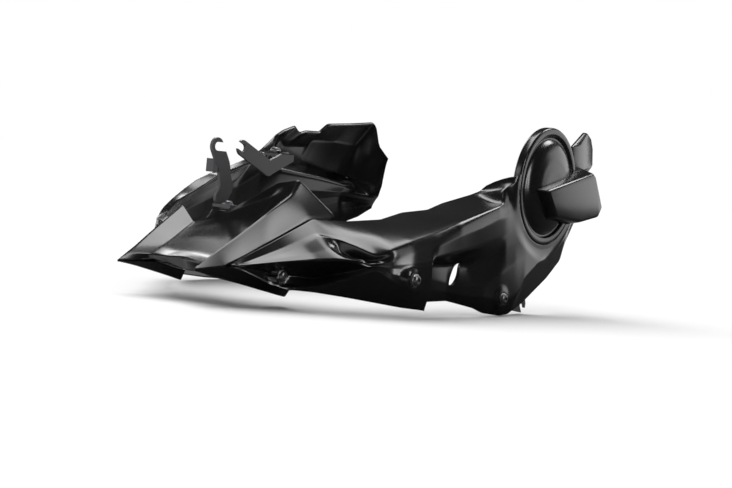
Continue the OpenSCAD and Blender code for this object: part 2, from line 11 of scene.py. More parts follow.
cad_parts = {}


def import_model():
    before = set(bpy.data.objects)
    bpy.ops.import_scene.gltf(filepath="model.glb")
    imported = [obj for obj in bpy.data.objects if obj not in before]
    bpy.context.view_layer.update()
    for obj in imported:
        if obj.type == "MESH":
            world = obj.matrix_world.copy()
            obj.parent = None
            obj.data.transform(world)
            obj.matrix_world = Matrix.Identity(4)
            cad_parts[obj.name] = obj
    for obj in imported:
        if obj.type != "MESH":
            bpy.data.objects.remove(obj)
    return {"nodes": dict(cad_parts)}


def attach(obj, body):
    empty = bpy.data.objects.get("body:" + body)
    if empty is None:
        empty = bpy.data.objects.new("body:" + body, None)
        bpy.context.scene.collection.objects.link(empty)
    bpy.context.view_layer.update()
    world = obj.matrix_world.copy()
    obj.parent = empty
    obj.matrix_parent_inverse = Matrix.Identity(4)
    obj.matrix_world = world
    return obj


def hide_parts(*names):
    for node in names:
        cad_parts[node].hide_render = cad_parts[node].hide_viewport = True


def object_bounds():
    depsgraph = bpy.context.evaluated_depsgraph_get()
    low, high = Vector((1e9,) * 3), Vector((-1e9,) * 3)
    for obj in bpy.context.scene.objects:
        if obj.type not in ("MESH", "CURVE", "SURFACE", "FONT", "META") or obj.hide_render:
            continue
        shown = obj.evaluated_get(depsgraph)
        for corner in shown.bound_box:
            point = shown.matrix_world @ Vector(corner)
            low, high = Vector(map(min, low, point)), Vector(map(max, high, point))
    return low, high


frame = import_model()
cad_box = [list(corner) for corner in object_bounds()]

# Sizes and places are in mm, with x from the nose tips, where nothing else is said
MM = 0.001
MIDDLE_X = 288
# The sides' signs along y
LEFT, RIGHT = -1, 1

# Wall of the mouldings, and how it grows from the panels' front tips
WALL = 3.0
TIP_WALL, TIP_RUN = 1.0, 50
# Where the panels begin and end, the size of their cells, and stations close together at the gill's edge
FRONT_X, REAR_X = 40, 530
GRID_STEP = 2.2
GILL_X = list(range(214, 221))
# Where along the left panel the creases are broad, how often they are averaged, and the rows of the fade
SOFT_X, SOFT_PASSES, SOFT_FADE = (150, 175, 340, 362), 14, 6
# Widths of the bevels on edges, and how far a moulding's edge has to turn for one in degrees
PANEL_BEVEL, NOSE_BEVEL, LUG_BEVEL, EAR_BEVEL = 0.7, 0.6, 0.8, 1.8
TAB_BEVEL, WASHER_BEVEL, NUT_BEVEL = 0.4, 0.2, 0.3
EDGE_TURN = 60
# Edges that turn more than this stay sharp in the shading, on mouldings and on fasteners, in degrees
MOULDING_SHARP, FASTENER_SHARP = 40, 30
# Points closer than this are one point, in metres
MERGE = 1e-6
# The curve at a corner takes at most this share of a side
CORNER_SHARE = 0.45

# Round cover: centre, distance out and radius of its rim, depth of its turned-in edge, rise of its dish
COVER_X, COVER_Z, COVER_OUT, COVER_R = 444, 139, 156.8, 64
COVER_DEPTH, DISH_RISE = 10, 7
# Rounding of the cover's profile, steps round it, and depth of the groove between its rim and its dish
COVER_ROUND, COVER_STEPS, GROOVE = 3, 144, 2.5
# Cover's outside from the rim to the middle, and its inside back to the rim, which lies a wall under these
# heights: (distance in from the rim, height over it)
COVER_OUTSIDE = [(0, 0), (8, 0), (10, -GROOVE), (13, -GROOVE), (17, DISH_RISE - 5.5), (24, DISH_RISE - 3),
                 (34, DISH_RISE - 0.8), (46, DISH_RISE), (COVER_R, DISH_RISE)]
COVER_INSIDE = [(COVER_R, DISH_RISE), (46, DISH_RISE), (34, DISH_RISE - 0.8), (25, DISH_RISE - 3.2),
                (19, DISH_RISE - 6), (14, -GROOVE), (9, -GROOVE), (7, 0), (WALL, 0)]
# Band round the cover in which the panel comes flush with its rim, how far it stays under the rim, and the
# overlap of the two
FLUSH, FLUSH_GAP, COVER_LAP = (4, 18), 0.5, 1

# Foot-peg boss: flat outlines of its top and foot as (x, z), rise over the cover's rim and depth under it
BOSS_TOP = [(412, 135), (516, 159), (523, 155), (547, 122), (539, 111), (496, 104), (438, 107)]
BOSS_FOOT = [(404, 137), (522, 166), (530, 160), (553, 122), (543, 106), (498, 98), (432, 101)]
BOSS_RISE, BOSS_SINK, BOSS_ROUND = 17, 8, 3
# The hollow behind the boss goes on past the boss's foot by this many walls
HOLLOW_REACH = 3
# Ear: flat outlines as (x, z), with the distances out from the cover's rim of both its faces there
EAR = [([(545, 205), (554, 205), (565, 199), (572, 188), (576, 168), (562, 158)], (-18, -15)),
       ([(500, 186), (520, 188), (524, 160), (502, 165)], (-9, -6))]

# Bolts through the sides and pod: places as (x, z), and the seats' distances out
SCOOP, SIDE, POD = (95, 32), (189, 38.5), (358, 19)
SCOOP_OUT, SIDE_OUT, POD_OUT = 73.3, 158.3, 161.8
# Radii of a seat's flat and of the blend round it, and how far out of it the panel still follows it
SCOOP_SEAT_R, SEAT_R, SEAT_REACH = (8, 10), (8.5, 14), 7
# Depths that the bolts clamp under the scoop's and pod's seats, and the nose piece's bosses there
SCOOP_SEAT, NOSE_BOSS, NOSE_BOSS_R, NOSE_BOSS_ROUND, POD_BOSS = 11, 6, 9, 0.6, 12.5
# Slot of the air duct, seen from the side: centre, half sizes, turn in degrees, distances out of the cut
DUCT_SLOT, DUCT_SLOT_SIZE, DUCT_SLOT_TURN, DUCT_SLOT_CUT = (286, 43), (15, 5), 52, (120, 150)

# Hangers' plate, and the width and thickness of the lugs that carry them, with their places and how far the
# rim's lug runs on into the panel
PLATE, LUG, LUG_T, LUG_LAP = 3, 22, 12, 1
RIM_X, RIM_Y, RIM_Z = 317, 122, 149
HOOK_X, HOOK_Y, HOOK_Z = 112, 14, 88
# Front hanger's lug, seen from the side: (x, z) from its rear top edge
HOOK_LUG = [(-34, -22), (-27, -11.5), (-20, -3), (-20, 0), (0, 0), (0, -LUG_T), (-18, -LUG_T),
            (-26, -LUG_T - 8)]
# Front hanger's tab, seen from above: (x, distance from the strip), and its heights
HOOK_TAB = [(107, 0.4), (102, 0.4), (99, 3), (99, 12), (101.6, 12), (101.6, 4), (103, 2.6), (107, 2.6)]
HOOK_TAB_Z = (121, 134)

# Bolts, washers and nuts, with the thread that stands past a nut, and the rubber well nuts
BOLT_D, HEAD_D, HEAD_H, WASHER_T, NUT_H = 5, 11, 3, 1.2, 4.5
THREAD_END, THREAD_BEVEL, HEAD_BEVEL, BOLT_PLAY, BOLT_STEPS = 1.5, 0.6, 0.1, 0.5, 48
WELL_LEN, FLANGE_T = 14, 1.5
# Head's socket from its floor up, as (radius, depth), and which of its rows follow a hexagon
SOCKET = [(0, 1.9), (1.9, 1.9), (2.1, 1.7), (2.1, 0.25), (2.35, 0.05)]
SOCKET_ROWS = (1, 2, 3)
# Head's dome from the socket outwards, as shares of its radius and height
HEAD_DOME = [(0.5, 1), (0.68, 0.9), (0.84, 0.72), (0.95, 0.45), (1, 0.25)]

# Cells of the nose piece between its lines and along them, and its wall at each of the lines' points
NOSE_STEP, NOSE_CUTS = 2.2, 9
NOSE_WALLS = [1, 2, 3, 3, 3, 3, 3]

# Surfaces: colour, roughness and how far it varies, and the scale and height in mm of the grain
SURFACES = {
    "satin_black": dict(color=(0.003, 0.003, 0.0035), roughness=0.22, spread=0.03, grain=1400, height=0.004),
    "gloss_black": dict(color=(0.002, 0.002, 0.0024), roughness=0.09, spread=0.02, grain=500, height=0.0006,
                        coat=1.0),
    "coated_steel": dict(color=(0.055, 0.056, 0.06), roughness=0.42, spread=0.06, grain=900, height=0.03),
    "black_steel": dict(color=(0.12, 0.12, 0.125), roughness=0.3, spread=0.05, grain=1500, height=0.01,
                        metallic=0.9),
    "plain_steel": dict(color=(0.42, 0.42, 0.44), roughness=0.33, spread=0.08, grain=1500, height=0.01,
                        metallic=1.0),
    "black_rubber": dict(color=(0.018, 0.018, 0.018), roughness=0.7, spread=0.05, grain=1500, height=0.03),
}
COAT_ROUGHNESS = 0.12
# Broad patches in which roughness and colour vary: scale, detail, and the share by which the colour does
PATCH_SCALE, PATCH_DETAIL, PATCH_TONE = 14, 4, 0.15

# Light of the world, as it falls on the object and as the gloss mirrors it
WORLD_LIGHT, WORLD_MIRRORED = 0.35, 0.05
# The floor's size in metres, its tone as it is seen, and its tones as the gloss mirrors it: painted shade,
# with two patches of painted highlight at the rear right and in front, which the gloss shows as painted
# reflections
FLOOR_SIZE, FLOOR_WHITE, FLOOR_PAINTED_SHADE, PAINTED_HIGHLIGHT_TONE = 60, 0.82, 0.06, 0.9
# Edges of the painted highlight patches in metres: where along an axis each one starts and is full
REAR_PAINTED_HIGHLIGHT, FRONT_PAINTED_HIGHLIGHT = (("X", 0.1, 0.25), ("Y", -0.02, 0.05)), ("X", -0.26, -0.28)
# Sun's strength, the angle that it fills in degrees, and the way in which it shines
SUN_STRENGTH, SUN_SPREAD, SUN_WAY = 3.3, 80, (0.35, -0.35, -1)
# Softboxes in metres: place, point that it faces, size, brightness
SOFTBOXES = {
    "overhead": ((0.15, 0.05, 1.6), (0, 0, 0.05), (0.9, 1.1), 7),
    "left_strip": ((-0.045, -0.57, 0.27), (-0.2, -0.05, 0.1), (0.13, 0.36), 9),
    "rear_top": ((1.15, -0.5, 1.15), (0, 0, 0.08), (0.5, 0.5), 9),
    "rear_right": ((0.7, 1.05, 1.2), (0, 0, 0.08), (0.4, 0.4), 9),
    "rear": ((1.8, -0.7, 0.35), (0.1, -0.1, 0.1), (1.2, 0.8), 1.5),
    "right": ((0.1, 2.0, 0.7), (0, 0, 0.08), (1.4, 0.6), 4),
    "front": ((-1.7, 1.0, 1.0), (0, 0, 0.08), (0.8, 0.6), 3),
}

# Left panel's lengthwise lines in mm, from the top edge down: x from the nose tips, z, distance out
LEFT_LINES = {
    "top": [
        (40, 41.5, 56.6), (84, 62, 65), (131, 86.6, 76), (167, 87, 88), (211, 91, 98), (241, 99.5, 103),
        (279, 104, 108), (302, 112, 111), (346, 123, 117), (361, 128, 120), (364, 136, 125),
        (369, 145, 134), (379, 149.5, 146), (386, 152, 151), (500, 150, 148), (530, 114, 148)],
    "shoulder": [
        (40, 41, 57), (51, 42.2, 61), (89, 57.3, 73), (123, 74, 86), (145, 72, 105), (173, 77.4, 123),
        (245, 93.5, 139), (286, 103, 143), (349, 117, 147), (356, 131, 150), (378, 143, 152),
        (400, 141, 153), (500, 138, 150), (530, 112, 148.3)],
    "ridge": [
        (40, 40.6, 57.4), (50, 41.8, 61.8), (89, 54, 78), (107, 61.5, 86), (123, 72, 91),
        (139, 70, 104), (148, 64.4, 121), (156, 58, 137), (166, 65.5, 145), (192, 75, 150),
        (223, 84, 154), (264, 96, 157), (341, 114.6, 157), (356, 118, 154), (372, 128, 152),
        (400, 132, 153), (500, 126, 151), (530, 110, 148.6)],
    "hollow": [
        (40, 40.2, 57.8), (50, 41.5, 62), (89, 51, 84), (107, 56, 93), (123, 62, 105), (131, 60, 106),
        (139, 57, 104), (148, 53.5, 114), (156, 53, 133), (167, 60, 147), (192, 69, 153),
        (223, 78, 158), (264, 90, 160), (341, 109, 158), (356, 112, 156), (372, 120, 154),
        (400, 122, 154), (500, 120, 151.5), (530, 109, 148.8)],
    "edge": [
        (40, 39.8, 58), (49, 41, 62.5), (79, 46.2, 82), (107, 50.5, 101), (125, 53, 122),
        (139, 53.3, 131), (147, 50.5, 134), (156, 52, 139), (167, 54.5, 147), (192, 63, 155),
        (223, 72, 161), (264, 83, 161), (302, 91, 160), (341, 101, 158), (372, 108, 156),
        (400, 113, 155), (500, 116, 152), (530, 108.3, 149)],
    "roof": [
        (40, 39.4, 58), (53, 39.6, 61), (91, 38, 74), (121, 40, 92), (138, 46.5, 113), (146, 48.5, 128),
        (155, 50.5, 138), (167, 51, 147), (189, 54, 156), (214, 58, 162), (219, 60, 161.5),
        (270, 66, 160), (300, 71, 158), (352, 82, 156), (400, 90, 158), (445, 88, 159), (500, 110, 154),
        (530, 107.2, 149)],
    "floor": [
        (40, 39, 58), (54, 38.4, 60), (88, 34, 65), (112, 32.5, 76), (127, 30, 84), (138, 36, 100),
        (146, 44, 124), (155, 49.5, 138), (167, 48, 147), (189, 49, 156.5), (214, 52, 162.5),
        (219, 52, 144), (280, 52, 142), (310, 50, 144), (340, 62, 152), (360, 72, 157), (400, 80, 159),
        (445, 79, 160), (500, 106, 155), (530, 106, 149)],
    "lip": [
        (40, 38.5, 58), (53, 38, 60), (85, 28.5, 67.5), (103, 25, 75.5), (116, 26, 86), (121, 30, 97),
        (135, 39, 116), (147, 45.5, 132), (155, 48, 138), (167, 43, 148), (189, 40, 157),
        (214, 39, 163), (219, 40, 143), (274, 34, 144), (293, 30, 150), (325, 34, 156), (352, 46, 160),
        (380, 58, 161), (400, 64, 161), (445, 72, 160), (500, 102, 155), (530, 105, 149)],
    "keel": [
        (40, 38, 57.8), (53, 36.9, 60.6), (84, 26.4, 68.8), (100, 22.6, 77), (113, 22.5, 88),
        (118, 26, 102), (134, 35.5, 121), (155, 45.5, 139), (167, 36, 148), (189, 28, 155),
        (214, 24, 162), (219, 28, 142), (274, 25, 144), (293, 22, 150), (325, 20, 157), (365, 16, 161),
        (388, 24, 163), (399, 40, 163), (445, 64, 160), (500, 97, 155), (530, 104, 149)],
    "bottom": [
        (40, 37.3, 57.4), (54, 35.4, 61), (84, 24, 69.5), (100, 20, 78.5), (124, 18.6, 92),
        (148, 16, 110), (165, 13.7, 124), (192, 10, 144), (214, 8.5, 158), (219, 14, 140),
        (278, 15, 142), (318, 8, 150), (334, 3, 153), (365, 0, 156), (380, 1.5, 157), (415, 12, 154),
        (474, 39, 150), (507, 58, 147), (515, 76, 146.5), (530, 103, 148.6)],
}


def front(name, reach):
    """The two panels are the same at the front below the shoulder, up to a distance from the tips."""
    return [p for p in LEFT_LINES[name] if p[0] <= reach]


# Right panel's lines, in the same way
RIGHT_LINES = {
    "top": [
        (40, 41.5, 56.6), (84, 62, 65), (104, 68, 72), (122, 72, 98), (142, 74, 119), (157, 86, 121),
        (180, 96, 122), (204, 106, 123), (225, 117, 125), (273, 131, 128), (311, 140, 130),
        (322, 150, 132), (327, 167, 133), (342, 174, 134), (366, 181, 136), (378, 174, 138),
        (390, 177, 138), (418, 178, 138), (426, 188, 135), (466, 192, 130), (505, 197, 124),
        (512, 190, 121), (515, 170, 119), (530, 155, 114)],
    "shoulder": [
        (40, 41, 57), (51, 42.2, 61), (89, 57.3, 73), (104, 64, 84), (122, 68, 105), (136, 66.6, 126),
        (149, 78.4, 130), (164, 89, 131), (183, 100.5, 132), (202, 110.5, 133), (223, 118.5, 134),
        (236, 121, 135), (284, 136.5, 138), (314, 146, 141), (327, 150, 150), (342, 158, 154),
        (366, 164, 158), (378, 158, 160), (418, 160, 160), (426, 168, 158), (466, 170, 154),
        (505, 168, 146), (512, 156, 128), (530, 146, 116)],
    "ridge": [
        (40, 40.6, 57.4), (50, 41.8, 61.8), (89, 54, 78), (107, 60, 92), (122, 62, 108), (139, 62, 129),
        (150, 70, 133), (164, 80, 136), (183, 90, 140), (202, 98, 144), (236, 108, 149),
        (284, 122, 156), (314, 132, 163), (327, 138, 167), (342, 142, 170), (366, 142, 172),
        (412, 136, 173), (440, 134, 172), (492, 128, 166), (512, 124, 150), (530, 120, 118)],
    "hollow": front("hollow", 125) + [
        (139, 57, 130), (156, 58, 137), (167, 66, 141), (192, 80, 149), (223, 92, 154), (264, 104, 159),
        (300, 113, 163), (327, 130, 166), (342, 134, 165), (366, 135, 162), (412, 130, 161),
        (440, 128, 160), (492, 122, 156), (512, 118, 146), (530, 114, 120)],
    "edge": front("edge", 156) + [
        (167, 58, 147), (192, 68, 154), (213, 78, 158), (247, 88, 161), (302, 104, 163),
        (340, 126, 160), (365, 128, 152), (412, 124, 149), (440, 122, 148), (492, 116, 147),
        (512, 112, 142), (530, 108, 122)],
    "roof": front("roof", 189) + [
        (216, 62, 161), (300, 82, 166), (352, 100, 164), (412, 108, 160), (492, 110, 153),
        (530, 105, 125)],
    "floor": front("floor", 189) + [
        (216, 50, 162), (300, 64, 166), (352, 84, 165), (412, 94, 162), (492, 104, 155),
        (530, 102, 127)],
    "lip": front("lip", 189) + [
        (216, 38, 162), (300, 46, 166), (352, 64, 165), (412, 78, 162), (492, 96, 155), (530, 99, 129)],
    "keel": front("keel", 189) + [
        (216, 24, 160), (300, 24, 164), (365, 36, 164), (412, 54, 160), (492, 86, 153), (530, 96, 131)],
    "bottom": front("bottom", 192) + [
        (216, 6, 154), (260, 2, 160), (300, 0, 160), (340, 6, 160), (365, 16, 160), (412, 34, 156),
        (474, 62, 152), (515, 80, 140), (530, 92, 132)],
}

# Nose piece's lines in mm, each from the front to the rear: (x, y, z)
NOSE_LINES = {
    "near foot": [
        (3.4, -46.4, 33.6), (20, -44, 30.5), (40, -41, 26.5), (62, -40, 23), (90, -41, 19),
        (120, -44, 13), (130, -44, 11)],
    "near keel": [
        (2.6, -47, 33.6), (14, -47.6, 32), (33, -48.5, 29), (64, -50, 22), (95, -51, 15.5),
        (124, -52, 10), (131, -52, 9)],
    "near chine": [
        (2.6, -47.4, 35), (20, -50, 36.5), (39, -52.8, 38), (56, -56, 36.5), (86, -60.5, 27.5),
        (106, -64.5, 22), (118, -68, 20)],
    "near seam": [
        (2.6, -47.4, 36), (20, -50, 38), (39, -52.8, 39.8), (60, -57, 49.8), (88, -61.5, 63.5),
        (131, -72, 87), (162, -79, 91)],
    "near ridge": [
        (2.6, -46.9, 36.8), (14, -47.8, 44), (30, -49.3, 53.5), (60, -52, 71.5), (88, -54.5, 89),
        (119, -57, 107.5), (131, -56, 122)],
    "near edge of the web": [
        (30, -36, 30.5), (21, -37, 40.4), (39, -35, 44), (65, -35, 58), (101, -34, 77), (118, -36, 104),
        (121, -38, 117)],
    "web": [
        (34, -10, 30), (31, -8, 41.5), (44, -8, 47), (72, -8, 62), (96, -8, 78), (106, -10, 90),
        (109, -12, 98)],
    "valley": [
        (32, 12, 34.5), (28, 12, 40.5), (42, 12, 45.5), (69, 12, 60), (90, 9, 73), (100, 4, 82),
        (103, 2, 87.5)],
    "far edge of the web": [
        (29, 27, 36.3), (27, 28, 40.4), (43, 29, 48), (56, 30, 54.7), (72, 32, 63), (86, 33.5, 70),
        (89, 34, 71.4)],
    "far ridge": [
        (3.6, 46.9, 33.2), (14, 47.6, 40), (25, 48.5, 46.5), (46, 50, 60), (69, 52, 73.5),
        (90, 54, 85.5), (93, 54, 87)],
    "far seam": [
        (3.6, 47.4, 32.4), (20, 50, 36), (39, 52.8, 39), (56, 56, 47), (74, 58.5, 56), (92, 61.5, 66),
        (108, 65, 74)],
    "far chine": [
        (3.6, 47.4, 31.6), (20, 50, 34.5), (39, 52.8, 36.5), (56, 56, 34), (74, 58.5, 29.5),
        (92, 61, 25), (108, 64.5, 22)],
    "far keel": [
        (3.6, 47, 31.2), (14, 47, 29.4), (26, 47, 27), (48, 47, 22.5), (71, 46.5, 17.6), (89, 46, 13.4),
        (92, 46, 13)],
    "far foot": [
        (4.4, 46.4, 31.2), (20, 39, 32.2), (38, 31, 33), (50, 31.5, 30.5), (64, 32.5, 27.8),
        (80, 34, 25.2), (84, 34, 25)],
}


def panel_grid(lines, side, xs, step):
    """Outer points in mm over the stations xs, in rows about step apart, and the row of each line."""
    cuts, marks = [], []
    for name in lines:
        p = np.array(lines[name], float)
        cuts.append(np.stack([np.interp(xs, p[:, 0], p[:, 2]), np.interp(xs, p[:, 0], p[:, 1])], 1))
    rows = []
    for a, b in zip(cuts, cuts[1:]):
        reach = np.linalg.norm(b - a, axis=1).max()
        count = max(2, int(round(reach / step)))
        marks.append(len(rows))
        rows += [a + (b - a) * s / count for s in range(count)]
    rows.append(cuts[-1])
    grid = np.stack(rows, 1)
    out = np.empty(grid.shape[:2] + (3,))
    out[..., 0] = xs[:, None]
    out[..., 1] = side * grid[..., 0]
    out[..., 2] = grid[..., 1]
    return out, marks


def blur(grid, passes, axis):
    """Rounds a grid's creases by averaging each point with its neighbours along one axis, ends kept."""
    g = grid.copy()
    for _ in range(passes):
        if axis == 0:
            g[1:-1] = g[1:-1] * 0.5 + (g[:-2] + g[2:]) * 0.25
        else:
            g[:, 1:-1] = g[:, 1:-1] * 0.5 + (g[:, :-2] + g[:, 2:]) * 0.25
    return g


def blur_both(grid, along, across):
    return blur(blur(grid, along, 0), across, 1)


def ease(share):
    """Smooth step from 0 to 1."""
    w = np.clip(share, 0, 1)
    return w * w * (3 - 2 * w)


def soften_creases(grid, last):
    """Rounds the creases above a row more broadly between two stations, fading at both."""
    w = np.interp(grid[:, :1, 0], SOFT_X, (0, 1, 1, 0))
    down = np.clip((last - np.arange(grid.shape[1])) / SOFT_FADE, 0, 1)[None]
    w = (w * down)[..., None]
    grid[:] = grid * (1 - w) + blur(grid, SOFT_PASSES, 1) * w


def normals(grid):
    n = np.cross(np.gradient(grid, axis=0), np.gradient(grid, axis=1))
    return n / np.maximum(np.linalg.norm(n, axis=2, keepdims=True), 1e-9)


def side_distance(points, centre):
    """Distance of points from a centre, both seen from the side."""
    return np.hypot(points[..., 0] - centre[0], points[..., 2] - centre[1])


def corners(cells):
    """Grid points that are a corner of at least one marked cell."""
    marked = np.zeros((cells.shape[0] + 1, cells.shape[1] + 1), bool)
    for i in (0, 1):
        for j in (0, 1):
            marked[i:cells.shape[0] + i, j:cells.shape[1] + j] |= cells
    return marked


def open_circle(grid, keep, centre, radius):
    """Drops the cells inside a circle seen from the side, and moves the corners along its edge onto it."""
    inside = side_distance((grid[:-1, :-1] + grid[1:, 1:]) / 2, centre) < radius
    edge = corners(inside & keep) & corners(keep & ~inside)
    keep &= ~inside
    f = (side_distance(grid, centre) / radius)[edge]
    for axis, at in ((0, centre[0]), (2, centre[1])):
        grid[..., axis][edge] = at + (grid[..., axis][edge] - at) / f


def ellipse(centre, size, turn, steps=32):
    c, s = math.cos(turn), math.sin(turn)
    angles = [2 * math.pi * k / steps for k in range(steps)]
    points = [(size[0] * math.cos(a), size[1] * math.sin(a)) for a in angles]
    return [(centre[0] + u * c - v * s, centre[1] + u * s + v * c) for u, v in points]


def flush_with_cover(grid):
    """Brings the left panel out to the cover's rim in a soft band round it."""
    d = side_distance(grid, (COVER_X, COVER_Z))
    w = ease((COVER_R + FLUSH[1] - d) / (FLUSH[1] - FLUSH[0]))
    grid[..., 1] = grid[..., 1] * (1 - w) + LEFT * (COVER_OUT - FLUSH_GAP) * w


def seat(grid, centre, out, radii):
    """Blends the grid into a flat round seat across the pan at a distance out."""
    flat, blend = radii
    w = ease((blend - side_distance(grid, centre)) / (blend - flat))
    near = np.abs(np.abs(grid[..., 1]) - out) < SEAT_REACH
    w = np.where(near, w, 0)
    grid[..., 1] = grid[..., 1] * (1 - w) + np.sign(grid[..., 1]) * out * w


def sheet_faces(keep, turn):
    """Quads of a thick sheet and their material slots: 1 on its inner skin, 0 elsewhere."""
    n, m = keep.shape[0] + 1, keep.shape[1] + 1
    o = n * m
    quads, slots = [], []
    for i in range(n - 1):
        for j in range(m - 1):
            if not keep[i, j]:
                continue
            a, b = i * m + j, (i + 1) * m + j
            quads += [(a, b, b + 1, a + 1), (o + a, o + a + 1, o + b + 1, o + b)]
            slots += [0, 1]
            for di, dj, p, q in ((-1, 0, a + 1, a), (1, 0, b, b + 1), (0, -1, a, b), (0, 1, b + 1, a + 1)):
                u, v = i + di, j + dj
                if not (0 <= u < n - 1 and 0 <= v < m - 1 and keep[u, v]):
                    quads.append((q, p, o + p, o + q))
                    slots.append(0)
    if turn < 0:
        quads = [tuple(reversed(q)) for q in quads]
    return quads, slots


def add_object(name, data):
    obj = bpy.data.objects.new(name, data)
    bpy.context.scene.collection.objects.link(obj)
    return obj


def make_object(name, verts_mm, faces, slots=None):
    """Mesh object from points in mm from the nose tips, with a material slot number for each face."""
    v = np.array(verts_mm, float)
    v[:, 0] -= MIDDLE_X
    mesh = bpy.data.meshes.new(name)
    mesh.from_pydata([tuple(p) for p in v * MM], [], faces)
    if slots:
        mesh.polygons.foreach_set("material_index", slots)
    obj = add_object(name, mesh)
    clean(obj)
    return obj


def clean(obj):
    """Merges double points, drops loose ones and turns all faces outwards."""
    bm = bmesh.new()
    bm.from_mesh(obj.data)
    bmesh.ops.remove_doubles(bm, verts=bm.verts, dist=MERGE)
    bmesh.ops.delete(bm, geom=[e for e in bm.edges if not e.link_faces], context="EDGES")
    bmesh.ops.delete(bm, geom=[p for p in bm.verts if not p.link_faces], context="VERTS")
    bmesh.ops.recalc_face_normals(bm, faces=bm.faces)
    bm.to_mesh(obj.data)
    bm.free()


def dissolve_flat(bm, degrees):
    """Makes one face of neighbours that turn less than some degrees."""
    bmesh.ops.dissolve_limit(bm, angle_limit=math.radians(degrees), verts=bm.verts, edges=bm.edges)


def apply_modifiers(obj):
    depsgraph = bpy.context.evaluated_depsgraph_get()
    mesh = bpy.data.meshes.new_from_object(obj.evaluated_get(depsgraph))
    obj.modifiers.clear()
    obj.data = mesh


def round_edges(obj, width_mm, segments=2, turn=35):
    """Rounds the edges that turn more than some degrees, and puts points thrown off the shape back on it."""
    before = BVHTree.FromPolygons([v.co for v in obj.data.vertices], [p.vertices for p in obj.data.polygons])
    mod = obj.modifiers.new("bevel", "BEVEL")
    mod.width = width_mm * MM
    mod.segments = segments
    mod.limit_method = "ANGLE"
    mod.angle_limit = math.radians(turn)
    mod.use_clamp_overlap = False
    mod.miter_outer = "MITER_ARC"
    apply_modifiers(obj)
    for v in obj.data.vertices:
        near, _, _, gap = before.find_nearest(v.co)
        if gap > width_mm * MM:
            v.co = near


def smooth(obj, sharp=MOULDING_SHARP):
    """Shades an object smoothly, except over edges that turn more than some degrees."""
    obj.data.shade_smooth()
    obj.data.set_sharp_from_angle(angle=math.radians(sharp))


def combine(obj, other, operation):
    """Adds another solid to an object or cuts it out, and removes the other one."""
    mod = obj.modifiers.new("join", "BOOLEAN")
    mod.operation = operation
    mod.object = other
    mod.solver = "EXACT"
    apply_modifiers(obj)
    bpy.data.objects.remove(other)


def join(obj, others):
    """Puts the meshes of other objects into the first one, all of one moulding."""
    bm = bmesh.new()
    for part in [obj] + others:
        bm.from_mesh(part.data)
    bm.to_mesh(obj.data)
    bm.free()
    for part in others:
        bpy.data.objects.remove(part)


def sheet_object(name, grid, turn, keep=None, wall=WALL):
    """Closed sheet from its outer points, with its inner skin a wall away on the side that turn says."""
    inner = grid + turn * wall * normals(grid)
    if keep is None:
        keep = np.ones((grid.shape[0] - 1, grid.shape[1] - 1), bool)
    faces, slots = sheet_faces(keep, turn)
    return make_object(name, np.concatenate([grid.reshape(-1, 3), inner.reshape(-1, 3)]), faces, slots)


def soften(points, radius, steps=4):
    """A closed outline with its corners rounded by short curves, except those on the turning axis."""
    out = []
    for i, corner in enumerate(points):
        c = np.array(corner, float)
        if corner[0] == 0:
            out.append(corner)
            continue
        ends = []
        for other in (points[i - 1], points[(i + 1) % len(points)]):
            d = np.array(other, float) - c
            length = np.linalg.norm(d)
            ends.append(c + d * min(radius, length * CORNER_SHARE) / length)
        for s in range(steps + 1):
            t = s / steps
            out.append(tuple(ends[0] * (1 - t) ** 2 + c * 2 * t * (1 - t) + ends[1] * t * t))
    return out


def turned(name, profile, x, z, side, steps, hexagonal=()):
    """Closed profile of (radius, distance out) turned about an axis across the pan, some rows hexagonal."""
    verts, faces = [], []
    for k in range(steps):
        a = 2 * math.pi * k / steps
        hexagon = math.cos(math.pi / 6) / math.cos((a + math.pi / 6) % (math.pi / 3) - math.pi / 6)
        for i, (r, out) in enumerate(profile):
            reach = r * hexagon if i in hexagonal else r
            verts.append((x + reach * math.cos(a), side * out, z + reach * math.sin(a)))
    n = len(profile)
    for k in range(steps):
        a, b = k * n, ((k + 1) % steps) * n
        faces += [(a + i, a + (i + 1) % n, b + (i + 1) % n, b + i) for i in range(n)]
    return make_object(name, verts, faces)


def loft(name, near, near_out, far, far_out, side, radius=0):
    """Solid between two outlines of as many points, each across the pan, with rounded edges."""
    n = len(near)
    verts = [(x, side * near_out, z) for x, z in near] + [(x, side * far_out, z) for x, z in far]
    faces = [tuple(range(n)), tuple(range(2 * n - 1, n - 1, -1))]
    faces += [(i, i + n, (i + 1) % n + n, (i + 1) % n) for i in range(n)]
    obj = make_object(name, verts, faces)
    if radius:
        round_edges(obj, radius, segments=4, turn=12)
    return obj


def inset_outline(points, by):
    """The outline with each point moved by a distance towards its middle."""
    middle = np.mean(np.array(points, float), 0)
    spokes = [np.array(p) - middle for p in points]
    return [tuple(middle + spoke * (1 - by / np.linalg.norm(spoke))) for spoke in spokes]


def stations(extra):
    return np.unique(np.concatenate([np.arange(FRONT_X, REAR_X, GRID_STEP), extra, [REAR_X]]))


def wall_along(xs):
    """Wall at each station, thinned towards the panels' front tips."""
    return np.clip(TIP_WALL + (xs - FRONT_X) * (WALL - TIP_WALL) / TIP_RUN, TIP_WALL, WALL)[:, None, None]


def cover():
    """Round cover with its ring groove and raised dish."""
    outside = [(COVER_R - inset, COVER_OUT + rise) for inset, rise in COVER_OUTSIDE]
    inside = [(COVER_R - inset, COVER_OUT + rise - WALL) for inset, rise in COVER_INSIDE]
    foot = COVER_OUT - COVER_DEPTH
    profile = soften([(COVER_R, foot)] + outside + inside + [(COVER_R - WALL, foot)], COVER_ROUND)
    return turned("cover", profile, COVER_X, COVER_Z, LEFT, COVER_STEPS)


